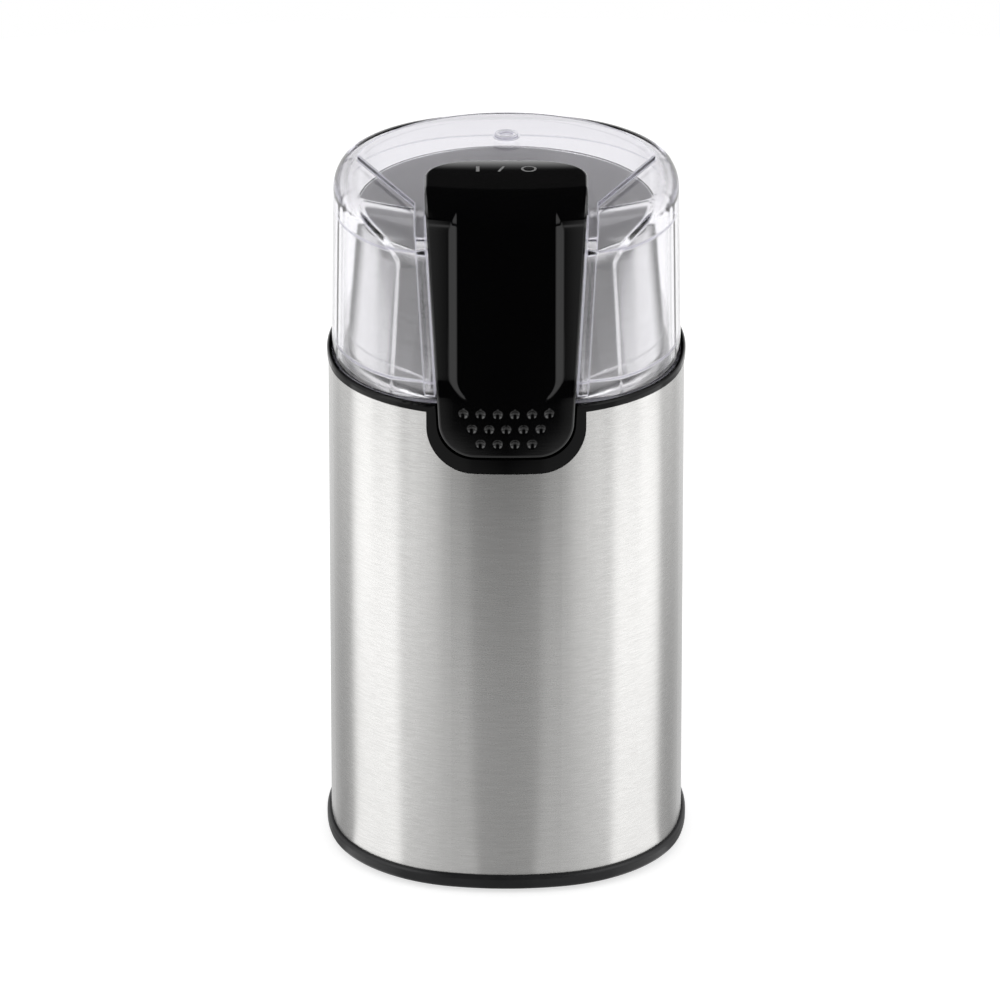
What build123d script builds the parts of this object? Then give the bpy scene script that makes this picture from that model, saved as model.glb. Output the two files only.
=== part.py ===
from build123d import *
from math import asin, cos, degrees, radians, sin, sqrt, tan
import os

# Electric blade coffee grinder, in millimetres.
# The origin is on the table under the middle of the machine, +Z is up, and the lever is on the -Y side.

# Shared allowances
overrun = 2.0
press_gap = 0.02
running_gap = 0.05
sliding_gap = 0.15
seat_gap = 0.3

# Grinding bowl: a deep-drawn steel cup that stands out of the top of the body
bowl_radius = 37.6
bowl_wall = 0.8
bowl_rim_drop = 9.9
bowl_corner_radius = 7.0
bowl_rim_round_share = 0.45

# Clear lid over the bowl
lid_wall = 2.2
lid_bowl_gap = 3.6
lid_draft = 0.9
lid_height = 47.0
lid_roof = 2.2
lid_shoulder_radius = 4.0
lid_skirt_height = 5.0
lid_skirt_step = 0.6
lid_ledge_drop = 8.4
lid_ledge_step = 0.6
lid_front_gap = 1.4
lid_front_radius = 80.0
lid_front_edge_radius = 12.0
plateau_step = 1.2
plateau_radius = 38.2
plateau_slant_start = 9.0
plateau_slant_end = 25.5
plateau_front = 36.0
nub_radius = 3.0
nub_hole_radius = 1.75
nub_height = 0.8
nub_setback = 21.0
rib_thickness = 2.6
rib_gap = 0.45
rib_height = 1.6
rib_foot_gap = 1.2
rib_lug_height = 5.0
rib_lug_edge_radius = 10.0

# Column section: four shallow face arcs joined by four corner arcs
lid_inset = 1.6
lid_half_width = bowl_radius + lid_bowl_gap + lid_wall
body_half_width = lid_half_width + lid_inset
face_arc_radius = 70.0
corner_arc_radius = 38.0
quarter_turn = 90.0

# Base plate, feet and base screws
foot_radius = 5.3
foot_height = 2.4
foot_drop = 1.0
foot_inset = 8.0
base_ring_height = 3.8
base_ring_overhang = 1.1
base_ring_round = 1.2
base_floor = 2.4
vent_width = 2.6
vent_length = 30.0
vent_pitch = 6.0
vent_count = 7
base_screw_radius = 1.7
base_screw_length = 12.0
base_screw_head_radius = 3.2
base_screw_head_height = 1.6
base_boss_radius = 4.5
base_boss_height = 16.0
base_boss_inset = 6.2

# Brushed steel sleeve and the plastic housing inside it
sleeve_height = 125.8
sleeve_sheet = 0.6
housing_gap = 0.3
housing_wall = 2.0
deck_thickness = 3.0
deck_shaft_hole = 9.0

# Top collar with the bowl seat, the lid ledge and the lever pocket
collar_depth = 18.6
collar_rim_height = 2.0
collar_overhang = 0.35
collar_rim_round = 0.8
collar_lip_height = 0.8
collar_lip_gap = 0.35
collar_wall = 2.0
bowl_seat_drop = 1.4
bowl_seat_plate = 2.4
bowl_seat_gap = 0.4
pocket_half_width = 19.8
pocket_drop = 15.6
pocket_corner_radius = 11.5
pocket_wall = 1.6
pocket_side_gap = 0.5
pocket_floor_gap = 0.6
pocket_back_gap = 1.5
collar_boss_radius = 4.5
collar_boss_inset = 9.0
collar_screw_radius = 1.7
collar_screw_grip = 9.0
collar_screw_head_radius = 3.2
collar_screw_head_height = 2.0

# Bowl fixing: gasket, flanged seal carrier, nut under the seat and lip seal on the shaft
gasket_outer_radius = 30.0
gasket_width = 3.0
gasket_depth = 1.0
carrier_flange_radius = 9.0
carrier_flange_height = 1.6
carrier_neck_radius = 7.0
carrier_bore_gap = 1.0
carrier_nut_height = 3.6
carrier_nut_width = 20.0
seal_radius = 6.0
seal_height = 3.0
seal_gap = 0.1

# Press lever on the front of the lid
lever_gap = 2.2
lever_thickness = 2.0
lever_face_radius = 84.0
lever_roll_radius = 7.5
lever_rise = 8.3
lever_tip_half_width = 16.9
lever_head_half_width = 19.9
lever_taper_start = 7.7
lever_taper_length = 55.0
lever_tip_drop = 11.3
lever_tip_corner_radius = 8.5
lever_rear = 15.0
lever_rear_corner_radius = 14.0
lever_skirt_gap = 0.5
lever_edge_round = 0.7
lever_panel_half_width = 14.4
lever_panel_raise = 0.65
lever_panel_low = 4.9
lever_panel_high = 54.4
lever_panel_corner_radius = 4.5
lever_press_angle = 2.5
grip_dimple_radius = 1.15
grip_dimple_depth = 0.55
grip_dimple_pitch = 4.25
grip_row_counts = [4, 5, 6]
grip_row_low = 3.6
grip_row_pitch = 3.95

# Lever hinge: two short steel pins in the lid ribs
hinge_drop = 4.2
hinge_pin_radius = 1.0
hinge_pin_inner = 13.2
hinge_ear_wall = 1.0
hinge_setback = 4.6
hinge_lug_radius = 1.7

# Push rod, its spring and the microswitch behind the pocket
rod_radius = 2.4
rod_lift = 2.9
rod_flange_radius = 3.8
rod_flange_thickness = 1.2
rod_tail = 2.4
spring_clearance = 0.3
spring_wall = 0.8
switch_length = 20.0
switch_depth = 10.0
switch_thickness = 6.4
switch_spring_length = 5.2
button_width = 3.0
button_height = 2.4
button_hidden = 3.0
button_well = 6.0
switch_screw_radius = 1.1
switch_screw_spacing = 9.6
switch_screw_head_radius = 1.9
switch_screw_head_height = 0.8
switch_screw_bite = 4.0
bracket_overhang = 3.0
bracket_plate = 2.0
bracket_leg = 2.6
terminal_width = 4.8
terminal_thickness = 0.8
terminal_length = 6.0
terminal_spacing = 7.0

# Universal motor hung from the housing deck
damper_height = 6.0
damper_radius = 4.6
mount_spread = 19.0
mount_screw_radius = 1.7
mount_screw_bite = 5.0
mount_screw_head_radius = 3.4
mount_screw_head_height = 2.2
frame_bar_width = 14.0
frame_bar_height = 6.0
frame_leg_width = 6.0
frame_hub_radius = 11.0
frame_hub_rise = 3.0
upper_leg_length = 13.0
lower_leg_length = 25.0
tie_screw_radius = 2.0
tie_screw_bite = 12.0
tie_screw_head_radius = 3.4
tie_screw_head_height = 2.4
bearing_radius = 7.0
bearing_length = 9.0
stator_width = 60.0
stator_depth = 50.0
stator_height = 26.0
stator_corner_radius = 6.0
stator_yoke_side = 7.0
stator_yoke_end = 6.5
pole_half_width = 9.0
pole_shoe_thickness = 4.2
pole_shoe_angle = 60.0
air_gap = 0.8
coil_thickness = 3.6
coil_bundle = 7.6
coil_gap = 0.3
coil_corner_radius = 4.0

# Rotor
shaft_radius = 4.0
shaft_tail = 1.0
spigot_radius = 3.0
armature_radius = 16.0
armature_slots = 12
slot_width = 3.0
slot_mouth = 1.4
slot_floor_radius = 9.4
slot_roof_depth = 1.2
winding_gap = 0.06
winding_overhang = 7.0
winding_inner_radius = 6.0
winding_outer_radius = 14.4
commutator_radius = 9.5
commutator_length = 12.0
commutator_gap = 1.0
commutator_bars = 24
commutator_slit = 0.5
commutator_slit_depth = 0.7
fan_radius = 22.0
fan_disc = 1.6
fan_hub_radius = 7.5
fan_depth = 8.5
fan_blade = 1.4
fan_blades = 12
fan_gap = 2.5

# Carbon brushes
brush_width = 6.0
brush_depth = 5.0
brush_length = 13.0
brush_gap = 0.1
brush_tube_wall = 1.2
brush_tube_length = 20.0
brush_tube_start = 3.0
brush_tube_gap = 0.12
brush_cap = 1.6
brush_post_width = 8.0
brush_post_depth = 6.0
brush_spring_radius = 2.1
brush_spring_bore = 1.3

# Blade stack on top of the shaft
spacer_radius = 6.5
spacer_lift = 1.0
spacer_height = 5.4
blade_sheet = 1.6
blade_hub_radius = 8.5
blade_arm_root = 11.0
blade_arm_width = 8.0
blade_bend_radius = 19.0
blade_tip_length = 10.5
blade_tip_width = 6.0
blade_bend_angle = 24.0
blade_nut_radius = 6.0
blade_nut_thread = 4.2
blade_nut_dome = 2.4

# Suppression capacitor on the deck
capacitor_length = 18.0
capacitor_width = 8.0
capacitor_height = 12.0
capacitor_round = 1.2
capacitor_setback = 20.0

# Cord gland low on the back
gland_height = 14.0
gland_radius = 5.0
gland_flange_radius = 6.6
gland_flange = 0.9
gland_length = 6.5
gland_slot_width = 3.4
gland_slot_length = 5.6

# Levels, from the table upwards
base_bottom = foot_drop
floor_top = base_bottom + base_floor
sleeve_bottom = base_bottom + base_ring_height
sleeve_top = sleeve_bottom + sleeve_height
collar_top = sleeve_top + collar_rim_height
collar_ledge = collar_top - collar_lip_height
housing_top = sleeve_top - collar_depth
deck_low = housing_top - deck_thickness
bowl_bottom = sleeve_top - bowl_seat_drop
bowl_floor = bowl_bottom + bowl_wall
seat_low = bowl_bottom - bowl_seat_plate
lid_bottom = collar_ledge
lid_top = lid_bottom + lid_height
bowl_rim = lid_top - bowl_rim_drop
lever_top = lid_top + plateau_step + lever_rise
lever_tip = sleeve_top - lever_tip_drop
lever_taper_low = lever_tip + lever_taper_start
hinge_level = lid_top - hinge_drop
rod_level = lever_tip + rod_lift
pocket_floor = sleeve_top - pocket_drop
frame_top = deck_low - damper_height
upper_bar_low = frame_top - frame_bar_height
stator_top = upper_bar_low - upper_leg_length
stator_low = stator_top - stator_height
lower_bar_top = stator_low - lower_leg_length
lower_bar_low = lower_bar_top - frame_bar_height
winding_low = stator_low - winding_overhang
commutator_top = winding_low - commutator_gap
brush_level = commutator_top - commutator_length / 2

# Places along Y, at the middle of the front
lid_front = -(bowl_radius + lid_front_gap + lid_wall)
lid_front_axis = lid_front + lid_front_radius
lever_back = lid_front - lever_gap
lever_front = lever_back - lever_thickness
lever_axis = lever_front + lever_face_radius
hinge_y = lever_front + hinge_setback
tip_travel = (hinge_level - lever_tip) * sin(radians(lever_press_angle))
pocket_back = lever_back + tip_travel + pocket_back_gap
pocket_back_radius = lever_axis - pocket_back
switch_face = pocket_back + pocket_wall + seat_gap + rod_flange_thickness + switch_spring_length

# Growth of the column section for each shell
lid_foot_growth = -lid_inset + lid_height * tan(radians(lid_draft))
sleeve_inner_growth = -sleeve_sheet
housing_growth = sleeve_inner_growth - housing_gap
housing_inner_growth = housing_growth - housing_wall

LOW_END = (Align.CENTER, Align.CENTER, Align.MIN)
CORNER = (Align.MIN, Align.MIN, Align.MIN)


def disc(radius, low, high, x=0, y=0):
    """Upright cylinder between two levels."""
    return Pos(x, y, low) * Cylinder(radius, high - low, align=LOW_END)


def tube(outer, inner, low, high, x=0, y=0):
    """Upright cylinder with a bore right through."""
    return disc(outer, low, high, x, y) - disc(inner, low - overrun, high + overrun, x, y)


def block(x_low, x_high, y_low, y_high, low, high):
    """Box between two corners."""
    return Pos(x_low, y_low, low) * Box(x_high - x_low, y_high - y_low, high - low, align=CORNER)


def rod_x(radius, start, end, y, z):
    """Cylinder along X."""
    return Pos(start, y, z) * Rot(Y=quarter_turn) * Cylinder(radius, end - start, align=LOW_END)


def rod_y(radius, start, end, x, z):
    """Cylinder along Y."""
    return Pos(x, start, z) * Rot(X=-quarter_turn) * Cylinder(radius, end - start, align=LOW_END)


def section(growth):
    """Rounded-square face of the column, grown outwards all round."""
    reach = face_arc_radius - body_half_width
    spread = face_arc_radius - corner_arc_radius
    corner = (sqrt(2 * spread**2 - reach**2) - reach) / 2
    lean = degrees(asin(corner / spread))
    front = 3 * quarter_turn
    arcs = []
    for side in range(4):
        turn = Rot(Z=side * quarter_turn)
        arcs.append(turn * CenterArc((0, reach), face_arc_radius + growth, front - lean, 2 * lean))
        arc = CenterArc((corner, -corner), corner_arc_radius + growth, front + lean, quarter_turn - 2 * lean)
        arcs.append(turn * arc)
    return make_face(arcs)


def column(growth, low, high):
    """Straight length of the column."""
    return Pos(Z=low) * extrude(section(growth), high - low)


def shell(outer_growth, inner_growth, low, high):
    """Straight wall that follows the column all round."""
    return column(outer_growth, low, high) - column(inner_growth, low - overrun, high + overrun)


def drum(radius, axis_y, low, high, edge_radius):
    """Upright drum, rounded along its top edge, that shapes the front of the lid and the lever."""
    plain = disc(radius, low, high, 0, axis_y)
    return fillet(plain.edges().filter_by(GeomType.CIRCLE).sort_by(Axis.Z)[-1], edge_radius)


def front_prism(face):
    """Front-view outline pushed right through the front half of the machine."""
    return Plane.XZ * extrude(face, body_half_width + overrun)


def lever_half_width(level):
    """Half width of the lever, which widens evenly towards the top."""
    share = (level - lever_taper_low) / lever_taper_length
    return lever_tip_half_width + share * (lever_head_half_width - lever_tip_half_width)


ear_inner = lever_half_width(hinge_level) + rib_gap
ear_outer = ear_inner + rib_thickness


def pocket_outline(growth):
    """U-shaped front view of the lever pocket, open at the top."""
    half = pocket_half_width + growth
    low = pocket_floor - growth
    high = collar_top + overrun
    face = make_face(Polyline((-half, high), (-half, low), (half, low), (half, high), close=True))
    return fillet(face.vertices().group_by(Axis.Y)[0], pocket_corner_radius + growth)


def polar(count, radius, start=0):
    """Evenly spaced places on a circle about the shaft."""
    places = []
    for index in range(count):
        turn = radians(start + 4 * quarter_turn * index / count)
        places.append((radius * cos(turn), radius * sin(turn)))
    return places


foot_places = polar(4, body_half_width - foot_inset, quarter_turn / 2)
base_screw_circle = body_half_width - base_boss_inset
base_screw_places = [(base_screw_circle, 0), (-base_screw_circle, 0), (0, -base_screw_circle)]
collar_screw_places = polar(4, body_half_width - collar_boss_inset, quarter_turn / 2)


def make_base_plate():
    """Plastic base with a rounded outer ring, foot pockets, screw holes and air slots."""
    ring = column(base_ring_overhang, base_bottom, sleeve_bottom)
    rims = ring.edges().filter_by(Plane.XY)
    plate = fillet(rims, base_ring_round)
    plate -= column(housing_growth + sliding_gap, floor_top, sleeve_bottom + overrun)
    for x, y in foot_places:
        plate -= disc(foot_radius + sliding_gap, base_bottom - overrun, foot_height, x, y)
    for x, y in base_screw_places:
        plate -= disc(base_screw_radius + sliding_gap, base_bottom - overrun, floor_top + overrun, x, y)
        head_top = base_bottom + base_screw_head_height
        plate -= disc(base_screw_head_radius + sliding_gap, base_bottom - overrun, head_top, x, y)
    slot = extrude(SlotOverall(vent_length, vent_width), base_floor + 2 * overrun)
    slot = Pos(Z=base_bottom - overrun) * slot
    for index in range(vent_count):
        plate -= Pos(Y=(index - (vent_count - 1) / 2) * vent_pitch) * slot
    return plate


def make_rubber_feet():
    """Soft round feet pressed into the base."""
    feet = []
    for x, y in foot_places:
        foot = disc(foot_radius, 0, foot_height, x, y)
        low_edge = foot.edges().filter_by(GeomType.CIRCLE).sort_by(Axis.Z)[0]
        feet.append(fillet(low_edge, foot_drop / 2))
    return feet


def make_base_screws():
    """Screws that hold the base plate to the bosses of the housing."""
    screws = []
    for x, y in base_screw_places:
        head_top = base_bottom + base_screw_head_height
        head = disc(base_screw_head_radius, base_bottom, head_top, x, y)
        screws.append(head + disc(base_screw_radius, base_bottom, base_bottom + base_screw_length, x, y))
    return screws


def make_inner_housing():
    """Plastic tube inside the sleeve, closed on top by the deck that carries the motor."""
    housing = shell(housing_growth, housing_inner_growth, floor_top, deck_low)
    housing += column(housing_growth, deck_low, housing_top)
    inside = column(housing_growth, floor_top, housing_top)
    for x, y in base_screw_places:
        boss = disc(base_boss_radius, floor_top, floor_top + base_boss_height, x, y) & inside
        housing += boss
        screw_end = base_bottom + base_screw_length
        housing -= disc(base_screw_radius + press_gap, floor_top - overrun, screw_end, x, y)
    for x, y in collar_screw_places:
        housing -= disc(collar_screw_radius + sliding_gap, deck_low - overrun, housing_top + overrun, x, y)
    for side in (-1, 1):
        x = side * mount_spread
        housing -= disc(mount_screw_radius + sliding_gap, deck_low - overrun, housing_top + overrun, x)
    housing -= disc(deck_shaft_hole, deck_low - overrun, housing_top + overrun)
    gland_start = body_half_width - sleeve_sheet - gland_length
    housing -= rod_y(gland_radius + sliding_gap, gland_start, body_half_width + overrun, 0, gland_height)
    return housing


def make_steel_sleeve():
    """Brushed steel sheet round the housing, notched at the front for the lever pocket."""
    sleeve = shell(0, sleeve_inner_growth, sleeve_bottom, sleeve_top)
    sleeve -= front_prism(pocket_outline(sliding_gap))
    gland_start = body_half_width - gland_length
    sleeve -= rod_y(gland_radius + sliding_gap, gland_start, body_half_width + overrun, 0, gland_height)
    return sleeve


def make_cord_gland():
    """Flanged gland with a slot for a flat two-core cord."""
    inner_end = body_half_width - sleeve_sheet - gland_length
    gland = rod_y(gland_radius, inner_end, body_half_width, 0, gland_height)
    gland += rod_y(gland_flange_radius, body_half_width, body_half_width + gland_flange, 0, gland_height)
    slot_depth = gland_length + sleeve_sheet + 2 * overrun
    slot = extrude(SlotOverall(gland_slot_length, gland_slot_width), slot_depth)
    gland -= Pos(0, inner_end - overrun, gland_height) * Rot(X=-quarter_turn) * slot
    return gland


def make_top_collar():
    """Black collar: bowl seat, lid ledge with a lip, skirt inside the sleeve and the lever pocket."""
    rim = column(collar_overhang, sleeve_top, collar_top)
    top_edges = rim.edges().filter_by(Plane.XY).group_by(Axis.Z)[-1]
    rim = fillet(top_edges, collar_rim_round)
    skirt = shell(housing_growth, housing_growth - collar_wall, housing_top, sleeve_top)
    seat = column(housing_growth, seat_low, sleeve_top)
    collar = rim + skirt + seat
    for x, y in collar_screw_places:
        collar += disc(collar_boss_radius, housing_top, seat_low, x, y)
        screw_end = housing_top + collar_screw_grip
        collar -= disc(collar_screw_radius + press_gap, housing_top - overrun, screw_end, x, y)
    pocket = front_prism(pocket_outline(0)) & column(0, pocket_floor, sleeve_top)
    pocket -= disc(pocket_back_radius - pocket_wall, housing_top, collar_top, 0, lever_axis)
    collar += pocket
    collar -= column(lid_foot_growth + collar_lip_gap, collar_ledge, collar_top + overrun)
    collar -= disc(bowl_radius + bowl_seat_gap, bowl_bottom, collar_top + overrun)
    collar -= disc(carrier_neck_radius + sliding_gap, seat_low - overrun, bowl_bottom + overrun)
    groove_low = bowl_bottom - gasket_depth
    collar -= tube(gasket_outer_radius + press_gap, gasket_outer_radius - gasket_width - press_gap,
                   groove_low, bowl_bottom)
    well = front_prism(lever_outline(pocket_side_gap, pocket_floor_gap))
    well -= disc(pocket_back_radius, 0, collar_top + 2 * overrun, 0, lever_axis)
    collar -= well
    hole_end = pocket_back + pocket_wall + overrun
    return collar - rod_y(rod_radius + running_gap, pocket_back - overrun, hole_end, 0, rod_level)


def make_collar_screws():
    """Screws from under the deck into the bosses of the collar."""
    screws = []
    for x, y in collar_screw_places:
        head = disc(collar_screw_head_radius, deck_low - collar_screw_head_height, deck_low, x, y)
        screws.append(head + disc(collar_screw_radius, deck_low, housing_top + collar_screw_grip, x, y))
    return screws


def make_grinding_bowl():
    """Deep-drawn stainless bowl with a rounded lower corner and a hole for the seal carrier."""
    outer = disc(bowl_radius, bowl_bottom, bowl_rim)
    low_edge = outer.edges().filter_by(GeomType.CIRCLE).sort_by(Axis.Z)[0]
    outer = fillet(low_edge, bowl_corner_radius)
    inner = disc(bowl_radius - bowl_wall, bowl_floor, bowl_rim + overrun)
    low_edge = inner.edges().filter_by(GeomType.CIRCLE).sort_by(Axis.Z)[0]
    inner = fillet(low_edge, bowl_corner_radius - bowl_wall)
    bowl = outer - inner
    bowl -= disc(carrier_neck_radius + sliding_gap, bowl_bottom - overrun, bowl_floor + overrun)
    rim_edges = bowl.edges().filter_by(GeomType.CIRCLE).group_by(Axis.Z)[-1]
    return fillet(rim_edges, bowl_rim_round_share * bowl_wall)


def make_bowl_gasket():
    """Rubber ring in the seat under the bowl."""
    gasket_inner_radius = gasket_outer_radius - gasket_width
    return tube(gasket_outer_radius, gasket_inner_radius, bowl_bottom - gasket_depth, bowl_bottom)


def make_seal_carrier():
    """Flanged bush that clamps the bowl to its seat and holds the lip seal."""
    neck_low = seat_low - carrier_nut_height
    flange_top = bowl_floor + carrier_flange_height
    carrier = disc(carrier_neck_radius, neck_low, bowl_floor)
    carrier += disc(carrier_flange_radius, bowl_floor, flange_top)
    carrier -= disc(shaft_radius + carrier_bore_gap, neck_low - overrun, flange_top + overrun)
    carrier -= disc(seal_radius + press_gap, flange_top - seal_height, flange_top + overrun)
    return carrier


def make_carrier_nut():
    """Hexagon nut under the bowl seat."""
    hexagon = RegularPolygon(carrier_nut_width / 2, 6, major_radius=False)
    low = seat_low - carrier_nut_height
    nut = Pos(Z=low) * extrude(hexagon, carrier_nut_height)
    return nut - disc(carrier_neck_radius + press_gap, low - overrun, seat_low + overrun)


def make_shaft_seal():
    """Rubber lip seal round the shaft."""
    flange_top = bowl_floor + carrier_flange_height
    return tube(seal_radius, shaft_radius + seal_gap, flange_top - seal_height, flange_top)


def lid_cup(wall, high):
    """Tapered column of the lid, thinned by a wall, up to a level, and the level of its lower end."""
    low = lid_bottom - overrun
    foot = lid_foot_growth - wall + overrun * tan(radians(lid_draft))
    cup = Pos(Z=low) * extrude(section(foot), high - low, taper=lid_draft)
    return cup, low


def make_lid():
    """Clear lid: tapered cup, rounded front, raised plateau, and two ribs that carry the lever."""
    cup, low = lid_cup(0, lid_top)
    cup = fillet(cup.edges().group_by(Axis.Z)[-1], lid_shoulder_radius)
    cup &= drum(lid_front_radius, lid_front_axis, low, lid_top, lid_front_edge_radius)

    tongue_half = lever_half_width(lid_top) + rib_gap + rib_thickness
    plan = make_face(Polyline((-plateau_radius, plateau_radius), (-plateau_radius, plateau_slant_start),
                              (-tongue_half, -plateau_slant_end), (-tongue_half, -plateau_front),
                              (tongue_half, -plateau_front), (tongue_half, -plateau_slant_end),
                              (plateau_radius, plateau_slant_start), (plateau_radius, plateau_radius),
                              close=True))
    plateau_top = lid_top + plateau_step
    crown = drum(lid_front_radius + plateau_step, lid_front_axis, low, plateau_top,
                 lid_front_edge_radius + plateau_step)
    sector = Pos(Z=hinge_level) * extrude(plan, plateau_top + overrun - hinge_level)
    trim = disc(plateau_radius, hinge_level, plateau_top + overrun)
    tongue = block(-tongue_half, tongue_half, -body_half_width, -plateau_slant_end,
                   hinge_level, plateau_top + overrun)
    cup += crown & sector & (trim + tongue)

    rib_low = collar_top + seat_gap + rib_foot_gap
    low_rib_form = drum(lid_front_radius + rib_height, lid_front_axis, low, plateau_top,
                        lid_front_edge_radius + rib_height)
    lug_form = drum(lid_front_radius + rib_lug_height, lid_front_axis, low, plateau_top, rib_lug_edge_radius)
    lug_low = hinge_level - hinge_pin_radius - hinge_ear_wall
    for side in (-1, 1):
        inner_low = side * (lever_half_width(rib_low) + rib_gap)
        inner_high = side * (lever_half_width(plateau_top) + rib_gap)
        rise = side * rib_thickness
        face = make_face(Polyline((inner_low, rib_low), (inner_low + rise, rib_low),
                                  (inner_high + rise, plateau_top), (inner_high, plateau_top), close=True))
        rib = front_prism(face) - block(-body_half_width, body_half_width, -plateau_slant_end, overrun,
                                        rib_low - overrun, plateau_top + overrun)
        cup += rib & low_rib_form
        cup += (rib - disc(body_half_width * 2, low, lug_low)) & lug_form

    skirt, low = lid_cup(lid_wall - lid_skirt_step, lid_bottom + lid_skirt_height)
    skirt &= disc(lid_front_radius - lid_wall + lid_skirt_step, low, lid_top, 0, lid_front_axis)
    hollow, low = lid_cup(lid_wall, lid_top - lid_ledge_drop)
    hollow &= drum(lid_front_radius - lid_wall, lid_front_axis, low, lid_top - lid_roof,
                   lid_front_edge_radius - lid_wall)
    crown_wall = lid_wall + lid_ledge_step
    upper, low = lid_cup(crown_wall, lid_top - lid_roof)
    upper = fillet(upper.edges().group_by(Axis.Z)[-1], lid_shoulder_radius - lid_wall)
    upper &= drum(lid_front_radius - crown_wall, lid_front_axis, low, lid_top - lid_roof,
                  lid_front_edge_radius - crown_wall)
    lid = cup - (skirt + hollow + upper)
    wide = body_half_width
    lid -= block(-wide, wide, -wide, wide, low - overrun, lid_bottom)
    lid += disc(nub_radius, lid_top, plateau_top + nub_height, 0, nub_setback)
    lid -= disc(nub_hole_radius, plateau_top, plateau_top + nub_height + overrun, 0, nub_setback)
    for side in (-1, 1):
        ends = sorted((side * ear_inner, side * ear_outer))
        lid += rod_x(hinge_pin_radius + hinge_ear_wall, ends[0], ends[1], hinge_y, hinge_level)
    reach = ear_outer + overrun
    return lid - rod_x(hinge_pin_radius + press_gap, -reach, reach, hinge_y, hinge_level)


def make_lever_pins():
    """Steel stub pins on which the lever swings."""
    pins = []
    for side in (-1, 1):
        ends = sorted((side * hinge_pin_inner, side * ear_outer))
        pins.append(rod_x(hinge_pin_radius, ends[0], ends[1], hinge_y, hinge_level))
    return pins


def lever_outline(growth, drop):
    """Front view of the lever, tapered, with round lower corners."""
    low = lever_tip - drop
    high = lever_top + overrun
    half_low = lever_half_width(low) + growth
    half_high = lever_half_width(high) + growth
    face = make_face(Polyline((-half_high, high), (-half_low, low), (half_low, low), (half_high, high),
                              close=True))
    return fillet(face.vertices().group_by(Axis.Y)[0], lever_tip_corner_radius + growth)


def lever_head_plan(growth):
    """Top view of the lever's head, with round rear corners."""
    half = lever_half_width(lever_top) + growth
    front = lever_front - overrun
    rear = growth - lever_rear
    plan = make_face(Polyline((-half, front), (half, front), (half, rear), (-half, rear), close=True))
    return fillet(plan.vertices().group_by(Axis.Y)[-1], lever_rear_corner_radius + growth)


def make_press_lever():
    """Glossy black lever that bends over the front of the lid, with a raised panel and grip dimples."""
    low = lever_tip - overrun
    outer = drum(lever_face_radius, lever_axis, low, lever_top, lever_roll_radius)
    inner = drum(lever_face_radius - lever_thickness, lever_axis, low - overrun, lever_top - lever_thickness,
                 lever_roll_radius - lever_thickness)
    high = lever_top + overrun
    head = Pos(Z=low) * extrude(lever_head_plan(0), high - low)
    lever = (outer - inner) & front_prism(lever_outline(0, 0)) & head
    skirt_low = lid_top + plateau_step + lever_skirt_gap
    wall = lever_head_plan(0) - lever_head_plan(-lever_thickness)
    skirt = Pos(Z=skirt_low) * extrude(wall, high - skirt_low)
    lever += skirt & outer & front_prism(lever_outline(0, 0))

    panel_form = drum(lever_face_radius + lever_panel_raise, lever_axis, low, lever_top + lever_panel_raise,
                      lever_roll_radius + lever_panel_raise)
    panel_low = sleeve_top + lever_panel_low
    panel_high = sleeve_top + lever_panel_high
    half = lever_panel_half_width
    face = make_face(Polyline((-half, panel_high), (-half, panel_low), (half, panel_low), (half, panel_high),
                              close=True))
    face = fillet(face.vertices(), lever_panel_corner_radius)
    lever += (panel_form - inner) & front_prism(face)

    ball_radius = (grip_dimple_radius**2 + grip_dimple_depth**2) / (2 * grip_dimple_depth)
    for row, count in enumerate(grip_row_counts):
        level = lever_tip + grip_row_low + row * grip_row_pitch
        for place in range(count):
            x = (place - (count - 1) / 2) * grip_dimple_pitch
            y = lever_axis - sqrt(lever_face_radius**2 - x**2)
            lever -= Pos(x, y + grip_dimple_depth - ball_radius, level) * Sphere(ball_radius)

    lug_outer = lever_half_width(hinge_level) - lever_edge_round
    for side in (-1, 1):
        ends = sorted((side * hinge_pin_inner, side * lug_outer))
        lever += rod_x(hinge_lug_radius, ends[0], ends[1], hinge_y, hinge_level)
    bore = hinge_pin_radius + running_gap
    return lever - rod_x(bore, -ear_outer, ear_outer, hinge_y, hinge_level)


rod_tip = lever_back + seat_gap
rod_flange_face = pocket_back + pocket_wall + seat_gap
rod_end = rod_flange_face + rod_flange_thickness + rod_tail


def make_push_rod():
    """Flanged rod that passes the lever's push through the pocket wall to the switch."""
    rod = rod_y(rod_radius, rod_tip, rod_end, 0, rod_level)
    flange_rear = rod_flange_face + rod_flange_thickness
    return rod + rod_y(rod_flange_radius, rod_flange_face, flange_rear, 0, rod_level)


def make_rod_spring():
    """Return spring between the rod's flange and the switch, as a plain sleeve of its outer size."""
    start = rod_flange_face + rod_flange_thickness
    inner = rod_radius + spring_clearance
    spring = rod_y(inner + spring_wall, start, switch_face, 0, rod_level)
    return spring - rod_y(inner, start - overrun, switch_face + overrun, 0, rod_level)


def make_switch_button():
    """Small button of the microswitch, pushed by the rod."""
    return block(-button_width / 2, button_width / 2, rod_end, switch_face + button_hidden,
                 rod_level - button_height / 2, rod_level + button_height / 2)


switch_low = rod_level - switch_thickness / 2
switch_high = rod_level + switch_thickness / 2
switch_rear = switch_face + switch_depth
switch_screw_y = switch_face + switch_depth / 2
switch_screw_x = switch_screw_spacing / 2
switch_screw_places = [(-switch_screw_x, switch_screw_y), (switch_screw_x, switch_screw_y)]


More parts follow.
